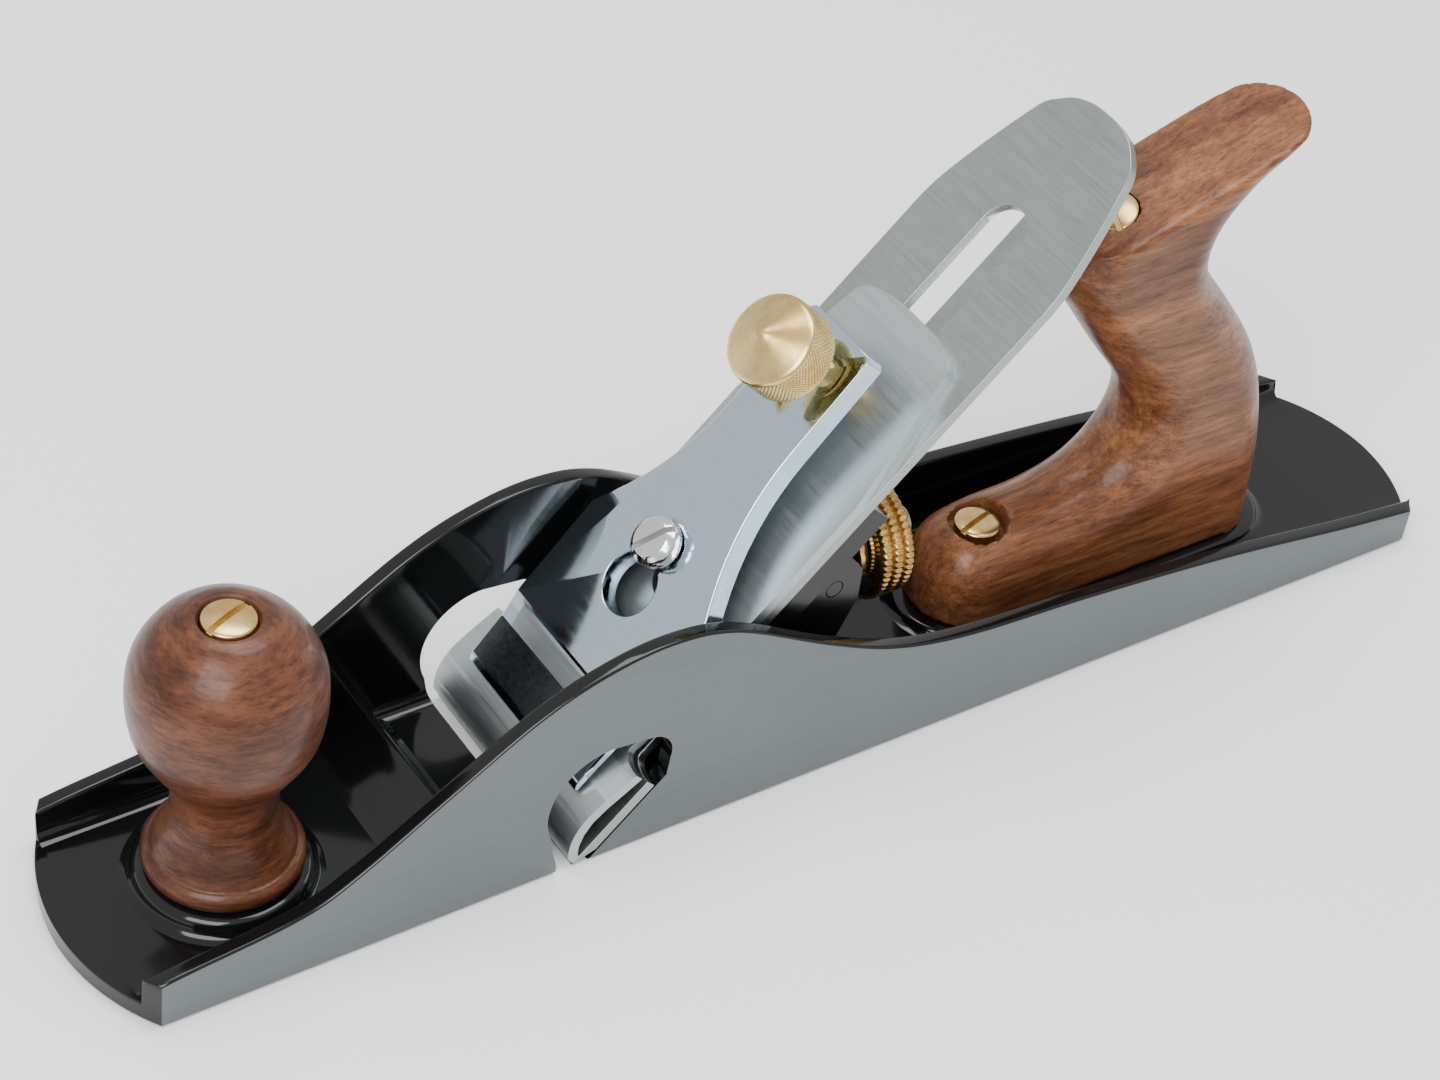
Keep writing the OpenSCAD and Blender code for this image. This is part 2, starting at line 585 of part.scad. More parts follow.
body();
knob();
knob_stud();
knob_nut();
tote();
tote_rod();
tote_nut();
tote_toe_screw();
frog_screws();
frog_screw_washers();
frog();
frog_adjusting_plate();
frog_plate_screw();
frog_adjusting_screw();
depth_stud();
depth_wheel_hub();
depth_wheel();
yoke();
yoke_pin();
lever_cap_screw();
lateral_lever();
lateral_lever_rivet();
lateral_roller();
plane_iron();
cap_iron();
cap_iron_screw();
lever_cap();
thumbscrew_stud();
thumbscrew();
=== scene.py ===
"""Bench rebate plane: the looks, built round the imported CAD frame.

Lengths are in millimetres until make() turns them into metres."""

import math
from itertools import product

import bmesh
import bpy
import numpy as np
from mathutils import Matrix, Vector


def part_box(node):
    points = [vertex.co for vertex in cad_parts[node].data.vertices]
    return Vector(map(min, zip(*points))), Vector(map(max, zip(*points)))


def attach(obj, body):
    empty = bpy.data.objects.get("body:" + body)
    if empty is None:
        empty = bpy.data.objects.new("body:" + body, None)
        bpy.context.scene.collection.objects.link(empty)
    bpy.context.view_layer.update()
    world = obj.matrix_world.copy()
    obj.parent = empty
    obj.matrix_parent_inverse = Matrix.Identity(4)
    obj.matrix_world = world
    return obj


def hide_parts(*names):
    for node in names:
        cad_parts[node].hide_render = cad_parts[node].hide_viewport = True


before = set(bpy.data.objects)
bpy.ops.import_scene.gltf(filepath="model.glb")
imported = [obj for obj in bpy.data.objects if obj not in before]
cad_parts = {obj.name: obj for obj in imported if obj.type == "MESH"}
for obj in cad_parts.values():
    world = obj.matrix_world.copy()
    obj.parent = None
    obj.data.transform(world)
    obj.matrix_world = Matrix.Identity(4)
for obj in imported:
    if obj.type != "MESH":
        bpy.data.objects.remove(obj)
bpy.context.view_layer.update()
MM = 0.001
ROOT2 = math.sqrt(2)


# ---------- Places, from the frame ----------
def box(node):
    low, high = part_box(node)
    return np.array(low) / MM, np.array(high) / MM


def middle(node):
    low, high = box(node)
    return (low + high) / 2


BODY_LOW, BODY_HIGH = box("body")
HALF_W = BODY_HIGH[1]
IRON_T = 2.5
BED_X = box("plane_iron")[1][0] - box("plane_iron")[1][2] + IRON_T / ROOT2


def placed(origin, along):
    """Takes a shape's own z axis to the direction along, at origin."""
    turn = Vector(along).to_track_quat("Z", "Y").to_matrix().to_4x4()
    return Matrix.Translation(origin) @ turn


# On the bed a shape's x runs up the slope and its z stands out of it
BED = Matrix.Translation((BED_X, 0, 0)) @ Matrix.Rotation(-math.pi / 4, 4, "Y")


def on_bed(u, v=0):
    return BED @ Matrix.Translation((u, 0, v))


# ---------- Shapes ----------
def arc(centre, radius, start, end, steps):
    angles = np.radians(np.linspace(start, end, steps + 1))
    return [(centre[0] + radius * math.cos(a), centre[1] + radius * math.sin(a)) for a in angles]


def spline(knots, steps):
    """A smooth line through the knots."""
    k = np.array([knots[0], *knots, knots[-1]], float)
    line = []
    for i in range(1, len(k) - 2):
        a, b, c, d = k[i - 1 : i + 3]
        for t in np.arange(steps) / steps:
            line.append(0.5 * (2 * b + (c - a) * t + (2 * a - 5 * b + 4 * c - d) * t**2
                               + (3 * b - a - 3 * c + d) * t**3))
    return [tuple(p) for p in line] + [tuple(k[-1])]


class Shape:
    """Points and faces, each face with the number of its material."""

    def __init__(self):
        self.points, self.faces, self.looks = [], [], []

    def add(self, points, faces, look=0, at=None):
        base = len(self.points)
        at = at or Matrix.Identity(4)
        self.points += [tuple(at @ Vector(p)) for p in points]
        self.faces += [tuple(base + i for i in f) for f in faces]
        self.looks += [look] * len(faces) if isinstance(look, int) else list(look)
        return self


def rings(loops, closed_ends=True):
    """Joins loops of equal length into a skin, with the ends filled."""
    n = len(loops[0])
    points = [p for loop in loops for p in loop]
    faces = []
    for r in range(len(loops) - 1):
        for i in range(n):
            j = (i + 1) % n
            faces.append((r * n + i, r * n + j, (r + 1) * n + j, (r + 1) * n + i))
    if closed_ends:
        faces.append(tuple(reversed(range(n))))
        faces.append(tuple(range((len(loops) - 1) * n, len(loops) * n)))
    return points, faces


def lathe(profile, segments=96, ridge=None):
    """Turns a profile of (radius, height) about z.

    ridge(angle, height) gives how much the radius shrinks there."""
    loops = []
    for r, h in profile:
        loop = []
        for i in range(segments):
            a = 2 * math.pi * i / segments
            cut = ridge(a, h) if ridge and r > 0 else 0
            loop.append(((r - cut) * math.cos(a), (r - cut) * math.sin(a), h))
        loops.append(loop)
    return rings(loops)


def prism(outline, low, high):
    """An outline in x and y, pulled up from low to high."""
    return rings([[(x, y, h) for x, y in outline] for h in (low, high)])


def across(outline, half):
    """An outline in x and z, pulled out across the width."""
    return rings([[(x, y, z) for x, z in outline] for y in (half, -half)])


def stadium(x0, x1, half, steps=16):
    return arc((x1 - half, 0), half, -90, 90, steps) + arc((x0 + half, 0), half, 90, 270, steps)


def surface_net(solid, low, high, step):
    """The skin of a solid given by a function that is positive inside, pulled onto its true surface."""
    axes = [np.arange(a, b + step, step) for a, b in zip(low, high)]
    field = solid(np.stack(np.meshgrid(*axes, indexing="ij"), -1))
    inside = field > 0
    size = [len(a) - 1 for a in axes]
    corners = list(product((0, 1), repeat=3))
    values = np.stack([field[i:size[0] + i, j:size[1] + j, k:size[2] + k] for i, j, k in corners], -1)
    mixed = (values > 0).any(-1) & (values <= 0).any(-1)
    number = np.full(size, -1)
    number[mixed] = np.arange(mixed.sum())
    cells, held = np.argwhere(mixed), values[mixed]
    total, count = np.zeros((len(cells), 3)), np.zeros(len(cells))
    for a, b in [(a, b) for a in range(8) for b in range(a + 1, 8)]:
        p, q = np.array(corners[a]), np.array(corners[b])
        if abs(p - q).sum() != 1:
            continue
        crossed = (held[:, a] > 0) != (held[:, b] > 0)
        share = held[crossed, a] / (held[crossed, a] - held[crossed, b])
        total[crossed] += p + share[:, None] * (q - p)
        count[crossed] += 1
    points = np.array(low) + step * (cells + total / count[:, None])
    faces = []
    for axis in range(3):
        b, c = (axis + 1) % 3, (axis + 2) % 3
        shifted = np.roll(inside, -1, axis)
        change = np.argwhere(inside != shifted)
        change = change[(change[:, axis] < size[axis]) & (change[:, b] > 0) & (change[:, c] > 0)
                        & (change[:, b] < size[b]) & (change[:, c] < size[c])]
        around = []
        for db, dc in ((-1, -1), (0, -1), (0, 0), (-1, 0)):
            cell = change.copy()
            cell[:, b] += db
            cell[:, c] += dc
            around.append(number[tuple(cell.T)])
        quads = np.stack(around, 1)
        outward = inside[tuple(change.T)]
        quads[~outward] = quads[~outward][:, ::-1]
        faces += [tuple(int(i) for i in q) for q in quads]
    tiny = 0.01
    for _ in range(3):
        value = solid(points)
        slope = np.stack([(solid(points + tiny * e) - value) / tiny for e in np.eye(3)], -1)
        steep = np.maximum((slope**2).sum(-1), 1e-4)
        move = -(value / steep)[:, None] * slope
        length = np.linalg.norm(move, axis=-1, keepdims=True)
        points = points + move * np.minimum(1, 0.5 * step / np.maximum(length, 1e-9))
    return points.tolist(), faces


# ---------- Pieces ----------
def make(name, shape, looks, body, replaces=(), bevel=0.0, sharp=38, segments=2):
    """Turns a shape into a piece that rides on a body."""
    mesh = bpy.data.meshes.new(name)
    mesh.from_pydata([Vector(p) * MM for p in shape.points], [], shape.faces)
    for polygon, look in zip(mesh.polygons, shape.looks):
        polygon.material_index = look
    tidy = bmesh.new()
    tidy.from_mesh(mesh)
    bmesh.ops.remove_doubles(tidy, verts=tidy.verts, dist=0.0005 * MM)
    bmesh.ops.dissolve_degenerate(tidy, edges=tidy.edges, dist=0.0002 * MM)
    bmesh.ops.recalc_face_normals(tidy, faces=tidy.faces)
    tidy.to_mesh(mesh)
    tidy.free()
    for look in looks:
        mesh.materials.append(look)
    piece = bpy.data.objects.new(name, mesh)
    bpy.context.scene.collection.objects.link(piece)
    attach(piece, body)
    if replaces:
        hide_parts(*replaces)
    round_off(piece, bevel, sharp, segments)
    return piece


def round_off(piece, bevel, sharp=38, segments=2):
    """Smooth shading, with a bevel on the sharp edges."""
    piece.data.shade_smooth()
    piece.data.set_sharp_from_angle(angle=math.radians(sharp))
    if bevel:
        edge = piece.modifiers.new("edges", "BEVEL")
        edge.width = bevel * MM
        edge.segments = segments
        edge.limit_method = "ANGLE"
        edge.angle_limit = math.radians(sharp)
        edge.harden_normals = True


def cut(piece, *tools):
    """Takes the tools, each a pair of points and faces, out of a piece."""
    cutters = []
    for points, faces in tools:
        mesh = bpy.data.meshes.new("tool")
        mesh.from_pydata([Vector(p) * MM for p in points], [], faces)
        tidy = bmesh.new()
        tidy.from_mesh(mesh)
        bmesh.ops.recalc_face_normals(tidy, faces=tidy.faces)
        tidy.to_mesh(mesh)
        tidy.free()
        mesh.materials.append(piece.data.materials[0])
        cutter = bpy.data.objects.new("tool", mesh)
        bpy.context.scene.collection.objects.link(cutter)
        cutters.append(cutter)
        knife = piece.modifiers.new("cut", "BOOLEAN")
        knife.operation = "DIFFERENCE"
        knife.solver = "EXACT"
        knife.object = cutter
    later = [m for m in piece.modifiers if m.type != "BOOLEAN"]
    for m in later:
        m.show_viewport = False
    bpy.context.view_layer.update()
    shown = piece.evaluated_get(bpy.context.evaluated_depsgraph_get())
    piece.data = bpy.data.meshes.new_from_object(shown)
    for m in [m for m in piece.modifiers if m.type == "BOOLEAN"]:
        piece.modifiers.remove(m)
    for m in later:
        m.show_viewport = True
    for cutter in cutters:
        bpy.data.objects.remove(cutter)
    piece.data.set_sharp_from_angle(angle=math.radians(38))
    return piece


def moved(shape, at):
    points, faces = shape
    return [tuple(at @ Vector(p)) for p in points], faces


# ---------- Materials ----------
class Look:
    """A node material round one Principled shader."""

    def __init__(self, name, metallic=0.0, **sockets):
        self.material = bpy.data.materials.new(name)
        self.material.use_nodes = True
        self.tree = self.material.node_tree
        self.shader = self.tree.nodes["Principled BSDF"]
        self.shader.inputs["Metallic"].default_value = metallic
        for socket, value in sockets.items():
            self.shader.inputs[socket.replace("_", " ")].default_value = value
        self.place = self.tree.nodes.new("ShaderNodeTexCoord").outputs["Object"]

    def node(self, kind, **settings):
        node = self.tree.nodes.new("ShaderNode" + kind)
        for key, value in settings.items():
            setattr(node, key, value)
        return node

    def link(self, output, socket):
        self.tree.links.new(output, socket)

    def stretched(self, scale, turn=(0, 0, 0)):
        """The place on the object, turned and then stretched."""
        mapping = self.node("Mapping", vector_type="TEXTURE")
        self.link(self.place, mapping.inputs["Vector"])
        mapping.inputs["Rotation"].default_value = [math.radians(a) for a in turn]
        mapping.inputs["Scale"].default_value = [1 / s for s in scale]
        return mapping.outputs["Vector"]

    def noise(self, place, scale=1.0, detail=3.0, roughness=0.55, distortion=0.0):
        texture = self.node("TexNoise")
        self.link(place, texture.inputs["Vector"])
        texture.inputs["Scale"].default_value = scale
        texture.inputs["Detail"].default_value = detail
        texture.inputs["Roughness"].default_value = roughness
        texture.inputs["Distortion"].default_value = distortion
        return texture.outputs["Fac"]

    def ramp(self, value, *stops):
        ramp = self.node("ValToRGB")
        self.link(value, ramp.inputs["Fac"])
        elements = ramp.color_ramp.elements
        while len(elements) < len(stops):
            elements.new(0.5)
        for element, (where, colour) in zip(elements, stops):
            element.position = where
            element.color = (*colour, 1) if isinstance(colour, tuple) else (colour, colour, colour, 1)
        return ramp.outputs["Color"]

    def between(self, value, low, high):
        """Takes 0.3 to 0.7, where most noise lies, to low to high."""
        spread = self.node("MapRange")
        self.link(value, spread.inputs["Value"])
        spread.inputs["From Min"].default_value = 0.3
        spread.inputs["From Max"].default_value = 0.7
        spread.inputs["To Min"].default_value = low
        spread.inputs["To Max"].default_value = high
        return spread.outputs["Result"]

    def mix(self, share, one, other, blend="MIX"):
        mixer = self.node("Mix", data_type="RGBA", blend_type=blend)
        if isinstance(share, float):
            mixer.inputs["Factor"].default_value = share
        else:
            self.link(share, mixer.inputs["Factor"])
        self.link(one, mixer.inputs["A"])
        self.link(other, mixer.inputs["B"])
        return mixer.outputs["Result"]

    def colour(self, output):
        self.link(output, self.shader.inputs["Base Color"])
        return self

    def rough(self, output):
        self.link(output, self.shader.inputs["Roughness"])
        return self

    def bump(self, height, strength, distance):
        bump = self.node("Bump")
        bump.inputs["Strength"].default_value = strength
        bump.inputs["Distance"].default_value = distance * MM
        self.link(height, bump.inputs["Height"])
        if self.shader.inputs["Normal"].links:
            self.link(self.shader.inputs["Normal"].links[0].from_socket, bump.inputs["Normal"])
        self.link(bump.outputs["Normal"], self.shader.inputs["Normal"])
        return self


def japan(name="black_japan", gloss=0.08, peel=0.12):
    """Thick black enamel with a slight orange peel."""
    look = Look(name, Coat_Weight=0.05, Coat_Roughness=0.05, Specular_IOR_Level=0.36)
    cloud = look.noise(look.stretched((18, 18, 18)), detail=2)
    look.colour(look.ramp(cloud, (0.3, (0.0028, 0.0032, 0.0034)), (0.7, (0.0042, 0.0047, 0.005))))
    look.rough(look.between(look.noise(look.stretched((60, 60, 60)), detail=1), gloss, gloss + 0.05))
    look.bump(look.noise(look.stretched((420, 420, 420)), detail=2), peel, 0.06)
    look.bump(look.noise(look.stretched((70, 70, 70)), detail=1), peel, 0.25)
    return look.material


def steel(name, light, dark, gloss, grain, turn=(0, 0, 0), scratch=0.12):
    """Ground steel: fine lines along the grain over slow clouds of tone."""
    look = Look(name, metallic=1.0)
    lines = look.noise(look.stretched(grain, turn), detail=5, roughness=0.7)
    cloud = look.noise(look.stretched((28, 28, 28)), detail=3)
    tone = look.mix(0.35, lines, cloud)
    look.colour(look.ramp(tone, (0.34, dark), (0.62, light)))
    look.rough(look.between(tone, gloss - 0.05, gloss + 0.09))
    look.bump(lines, scratch, 0.03)
    return look.material


def wood(name, grain, dark, mid, light, shine=0.45):
    """Polished hardwood: long dark streaks and fine pores along the grain."""
    look = Look(name, Coat_Weight=shine, Coat_Roughness=0.06, Specular_IOR_Level=0.2)
    figure = look.noise(look.stretched(grain), detail=5, roughness=0.6, distortion=0.5)
    streak = look.noise(look.stretched([g * 5 for g in grain]), detail=4, roughness=0.75)
    both = look.mix(0.45, figure, streak)
    body = look.ramp(both, (0.32, dark), (0.48, mid), (0.66, light))
    pores = look.noise(look.stretched([g * 14 for g in grain]), detail=2)
    look.colour(look.mix(0.5, body, look.ramp(pores, (0.36, 0.35), (0.46, 1.0)), "MULTIPLY"))
    look.rough(look.between(streak, 0.42, 0.28))
    look.bump(pores, 0.18, 0.05)
    return look.material


def metal(name, light, dark, gloss, detail=160, dents=0.08):
    """Turned metal with faint tarnish."""
    look = Look(name, metallic=1.0)
    tarnish = look.noise(look.stretched((detail, detail, detail)), detail=5, roughness=0.65)
    look.colour(look.ramp(tarnish, (0.35, dark), (0.6, light)))
    look.rough(look.between(tarnish, gloss + 0.08, gloss))
    look.bump(tarnish, dents, 0.04)
    return look.material


JAPAN = japan()
FROG_JAPAN = japan("frog_enamel", 0.16, 0.3)
GROUND = steel("ground_cheek", (0.155, 0.174, 0.179), (0.125, 0.143, 0.148),
               0.42, (40, 2200, 2200), scratch=0.07)
TOOL_STEEL = steel("tool_steel", (0.36, 0.39, 0.385), (0.29, 0.32, 0.315),
                   0.34, (1500, 60, 1500), (0, 45, 0))
MACHINED = steel("machined_steel", (0.42, 0.43, 0.43), (0.27, 0.28, 0.28), 0.3, (700, 700, 700))
CAP_FACE = steel("lever_cap_polish", (0.49, 0.60, 0.68), (0.43, 0.54, 0.62),
                 0.08, (1400, 80, 1400), (0, 45, 0), 0.02)
# Dark colour for the lever cap's recess: a painted reflection of the black casting, not the steel's own
# colour.
CAP_PAINTED_REFLECTION = steel("lever_cap_painted_reflection", (0.09, 0.10, 0.11), (0.05, 0.056, 0.06),
                  0.3, (900, 900, 900), (0, 45, 0), 0.1)
CAP_IRON_STEEL = steel("cap_iron_steel", (0.46, 0.50, 0.51), (0.38, 0.42, 0.43),
                       0.42, (1500, 60, 1500), (0, 45, 0), 0.08)
CHROME = metal("bright_chrome", (0.72, 0.73, 0.74), (0.62, 0.63, 0.64), 0.1, dents=0.03)
BRASS = metal("brass", (0.74, 0.55, 0.24), (0.56, 0.37, 0.13), 0.2)
BRASS_OLD = metal("worn_brass", (0.66, 0.42, 0.15), (0.34, 0.19, 0.06), 0.24)
KNOB_WOOD = wood("knob_wood", (30, 34, 150),
                 (0.016, 0.0055, 0.003), (0.066, 0.022, 0.011), (0.15, 0.055, 0.027), 0.1)
TOTE_WOOD = wood("tote_wood", (16, 150, 150),
                 (0.035, 0.012, 0.005), (0.14, 0.052, 0.022), (0.31, 0.125, 0.05), 0.1)


# ---------- CAD nodes that keep their shape ----------
NODE_LOOKS = {
    "knob_stud": (MACHINED, 0.1), "tote_rod": (MACHINED, 0.1),
    "frog_screws": (MACHINED, 0.2), "frog_screw_washers": (MACHINED, 0.15), "frog": (FROG_JAPAN, 0.5),
    "frog_adjusting_plate": (MACHINED, 0.15), "frog_plate_screw": (MACHINED, 0.15),
    "frog_adjusting_screw": (MACHINED, 0.2), "depth_stud": (MACHINED, 0.3),
    "depth_wheel_hub": (BRASS_OLD, 0.25), "yoke": (FROG_JAPAN, 0.4), "yoke_pin": (FROG_JAPAN, 0.2),
    "lateral_lever": (CHROME, 0.25), "lateral_lever_rivet": (MACHINED, 0.2),
    "lateral_roller": (MACHINED, 0.2), "plane_iron": (TOOL_STEEL, 0.2), "cap_iron": (CAP_IRON_STEEL, 0.25),
    "cap_iron_screw": (MACHINED, 0.25), "lever_cap": (CAP_FACE, 0.4), "lever_cap_screw": (CHROME, 0.3),
    "thumbscrew_stud": (BRASS, 0.25), "body": (JAPAN, 0.3), "knob": (KNOB_WOOD, 0), "tote": (TOTE_WOOD, 0),
    "knob_nut": (BRASS, 0.2), "tote_nut": (BRASS, 0.2), "tote_toe_screw": (BRASS, 0.2),
    "depth_wheel": (BRASS_OLD, 0.2), "thumbscrew": (BRASS, 0.2),
}


def dress(node, look, bevel):
    """Gives a CAD node its material and rounds its edges."""
    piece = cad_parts[node]
    piece.data.materials.clear()
    piece.data.materials.append(look)
    weld = piece.modifiers.new("weld", "WELD")
    weld.merge_threshold = 0.002 * MM
    flat = piece.modifiers.new("flat", "DECIMATE")
    flat.decimate_type = "DISSOLVE"
    flat.angle_limit = math.radians(0.4)
    if bevel:
        edge = piece.modifiers.new("edges", "BEVEL")
        edge.width = bevel * MM
        edge.segments = 2
        edge.limit_method = "ANGLE"
        edge.angle_limit = math.radians(32)
        edge.harden_normals = True


for node, (look, bevel) in NODE_LOOKS.items():
    dress(node, look, bevel)


# ---------- Body casting ----------
FLOOR_T = 4.2
CHEEK_T = 3.5
TOE_R = 46
HEEL_R = 41
CHEEK_IN = HALF_W - CHEEK_T
TOE_CENTRE = BODY_LOW[0] + TOE_R
HEEL_CENTRE = BODY_HIGH[0] - HEEL_R
CHEEK_KNOTS = [(-165, 9.6), (-152, 12), (-128, 15.3), (-116, 20.5), (-97, 33), (-78, 45.2), (-63, 51.2),
               (-48, 53.2), (-33, 49.9), (-10, 36.8), (8, 28.3), (28, 23.8), (60, 21.3), (100, 17),
               (135, 11.6), (165, 7.8)]
CHEEK_LINE = np.array(spline(CHEEK_KNOTS, 6))
MOUTH_FRONT = -70.5


def half_width(x):
    """Half the width of the plan at x, with its round ends."""
    for centre, radius, side in ((TOE_CENTRE, TOE_R, -1), (HEEL_CENTRE, HEEL_R, 1)):
        if (x - centre) * side > 0:
            return min(HALF_W, math.sqrt(max(radius**2 - (x - centre) ** 2, 0)))
    return HALF_W


def casting_section(x, fillet=3.2):
    """One side of the section at x, from the middle of the sole round to the middle of the floor.

    The second list says whether the face after each point is ground."""
    half = half_width(x)
    inner = min(CHEEK_IN, half)
    has_cheek = half > CHEEK_IN + 0.02
    top = np.interp(x, CHEEK_LINE[:, 0], CHEEK_LINE[:, 1]) if has_cheek else FLOOR_T
    edge = min(0.45, half / 2)
    lip = min(0.7, (half - inner) / 2) if has_cheek else edge
    if not has_cheek:
        inner = half - 2 * edge
    bend = min(fillet, top - FLOOR_T)
    points = [(half * t - edge * t, 0) for t in (0, 0.35, 0.7, 1)]
    points += arc((half - edge, edge), edge, -67.5, 0, 3)
    points += [(half, edge + (top - lip - edge) * t) for t in (0.2, 0.4, 0.6, 0.8)]
    points += arc((half - lip, top - lip), lip, 0, 90, 4)
    ground = [True] * (len(points) - 4) + [False] * 4
    inside = arc((inner + lip, top - lip), lip, 90, 180, 4)
    inside += [(inner, top - lip + (FLOOR_T + bend - top + lip) * t) for t in (0.2, 0.4, 0.6, 0.8)]
    inside += arc((inner - bend, FLOOR_T + bend), bend, 0, -90, 7)
    inside += [((inner - bend) * t, FLOOR_T) for t in (0.7, 0.35, 0)]
    if not has_cheek:
        inside = [(min(y, half), FLOOR_T) for y, _ in inside]
    return points + inside, ground + [False] * len(inside)


def casting():
    ends = np.radians(np.linspace(0, math.degrees(math.asin(HALF_W / TOE_R)), 34))
    toe = [TOE_CENTRE - TOE_R * math.cos(a) for a in ends]
    ends = np.radians(np.linspace(0, math.degrees(math.asin(HALF_W / HEEL_R)), 34))
    heel = [HEEL_CENTRE + HEEL_R * math.cos(a) for a in ends]
    corner = []
    for centre, radius, side in ((TOE_CENTRE, TOE_R, -1), (HEEL_CENTRE, HEEL_R, 1)):
        edge_x = centre + side * math.sqrt(radius**2 - CHEEK_IN**2)
        corner += [edge_x - side * 0.03, edge_x + side * 0.03]
    stations = sorted({*toe, *heel, *corner, *np.linspace(toe[-1], heel[-1], 150)})
    loops = []
    for x in stations:
        side, ground = casting_section(x)
        loop = [(x, y, z) for y, z in side]
        loop += [(x, -y, z) for y, z in reversed(side[1:-1])]
        loops.append(loop)
    points, faces = rings(loops)
    one = len(ground)
    by_side = [0 if g else 1 for g in ground]
    mirrored = [by_side[one - 2 - i] for i in range(one - 1)]
    looks = []
    for start, end in zip(stations, stations[1:]):
        straight = min(half_width(start), half_width(end)) > HALF_W - 0.01
        near = [look if straight or i < 3 else 1 for i, look in enumerate(by_side[:-1])]
        far = [look if straight or i > one - 5 else 1 for i, look in enumerate(mirrored)]
        looks += near + far
    return Shape().add(points, faces, [1 - look for look in looks + [0, 0]])


def opening():
    """The through opening: round over the iron, then down the bed."""
    relief = 0.35 * ROOT2
    outline = [(MOUTH_FRONT, -3), (MOUTH_FRONT, 2), (MOUTH_FRONT - 1.1, 6)]
    outline += arc((-60, 16.2), 13.7, 205, 92, 28) + arc((-51.8, 23.0), 6, 78, -12, 14)
    outline += [(-46.4, -46.4 - BED_X - relief), (BED_X + relief - 3, -3)]
    return across(outline, HALF_W + 5)


body = make("casting", casting(), [JAPAN, GROUND], "root", ["body"], bevel=0.3, sharp=55)
cut(body, opening())


def casting_details():
    """Seat, rib, boss and pad; the rib, boss and pad each with a cast fillet at its foot."""
    shape = Shape()
    foot = BED_X + 0.35 * ROOT2
    shape.add(*across([(foot + 2, 2), (-6.5, 2), (-6.5, 12), (foot + 12, 12)], 20))
    rib = spline([(-101, FLOOR_T - 0.1), (-98.2, 4.8), (-95.4, 6.6), (-92.4, 9.2), (-90, 12), (-89, 12.75),
                  (-88, 12.6), (-86.8, 10.4), (-85.4, 7.2), (-84, 5.2), (-81.6, FLOOR_T - 0.1)], 4)
    shape.add(*across(rib, CHEEK_IN + 0.3))
    boss = [(0, 3), (20.4, 4.1), (18.9, 4.5), (18.05, 5.2), (17.7, 6.2), (17.5, 6.9), (17, 7.5), (16.2, 7.9),
            (15.6, 8), (0, 8)]
    shape.add(*lathe(boss), at=Matrix.Translation((middle("knob")[0], 0, 0)))
    steps = [(2.4, 4.1), (1.2, 4.4), (0.4, 4.9), (0.1, 5.4), (-0.2, 5.8), (-0.8, 6)]
    loops = [[(x, y, h) for x, y in stadium(32 - grow, 128 + grow, 14 + grow)] for grow, h in steps]
    shape.add(*rings(loops))
    return shape


make("casting_details", casting_details(), [JAPAN], "root", bevel=0.5, sharp=50)


# ---------- Front knob ----------
KNOB_PROFILE = [(14.9, 8.05), (15.8, 9.2), (16.1, 10.4), (15.8, 11.7), (15, 12.6), (14.3, 13),
                (13.9, 13.9), (13, 15.7), (11.2, 20), (10.4, 26), (11.4, 31.5), (14.6, 37),
                (17.9, 43.6), (19, 51.5), (18.2, 59.3), (14.8, 65.6), (10, 69.6), (6.9, 70.9)]
knob_at = Matrix.Translation((middle("knob")[0], 0, 0))
knob_top = box("knob")[1][2]
profile = [(0, 8.05), *spline(KNOB_PROFILE, 7), (6.1, knob_top - 0.25), (5.6, knob_top - 0.9),
           (5.5, knob_top - 4), (0, knob_top - 4)]
make("knob_turned", Shape().add(*lathe(profile, 128), at=knob_at), [KNOB_WOOD], "root", ["knob"])


# ---------- Tote ----------
TOTE_BACK = [(124.4, -8), (124.2, 0), (124, 6), (123.2, 16), (121.6, 31), (117.6, 46.5), (112, 58.5),
             (103, 70.8), (95, 81), (92.2, 88.5), (93.6, 95.8), (99.6, 102.8), (107.2, 108), (111.6, 113),
             (113, 124)]
TOTE_FRONT = [(54, 112), (54.6, 104), (54.4, 97.2), (52.6, 93.4), (57, 85), (62.6, 77.6), (72.2, 64.4),
              (81.6, 52), (84, 43.5), (81.4, 35.6), (75, 30.2), (65, 27.6), (52, 27), (42, 24.6),
              (36.4, 18.6), (34.8, 12), (35.4, 6), (35.6, 0), (35.6, -8)]
TOTE_TOP = ((54.4, 97.2), (107.6, 115.6))


def distance_inside(outline, x, z):
    """Distance to a closed outline, positive inside it."""
    a = np.array(outline)
    b = np.roll(a, -1, 0)
    near, inside = np.full(x.shape, 1e9), np.zeros(x.shape, bool)
    for (ax, az), (bx, bz) in zip(a, b):
        dx, dz = bx - ax, bz - az
        t = np.clip(((x - ax) * dx + (z - az) * dz) / max(dx * dx + dz * dz, 1e-12), 0, 1)
        near = np.minimum(near, np.hypot(x - ax - t * dx, z - az - t * dz))
        if az != bz:
            inside ^= ((az > z) != (bz > z)) & (x < dx * (z - az) / dz + ax)
    return np.where(inside, near, -near)


def soft_min(a, b, reach):
    """The smaller of two, with the corner between them rounded over reach."""
    h = np.clip(0.5 + 0.5 * (b - a) / reach, 0, 1)
    return b + (a - b) * h - reach * h * (1 - h)


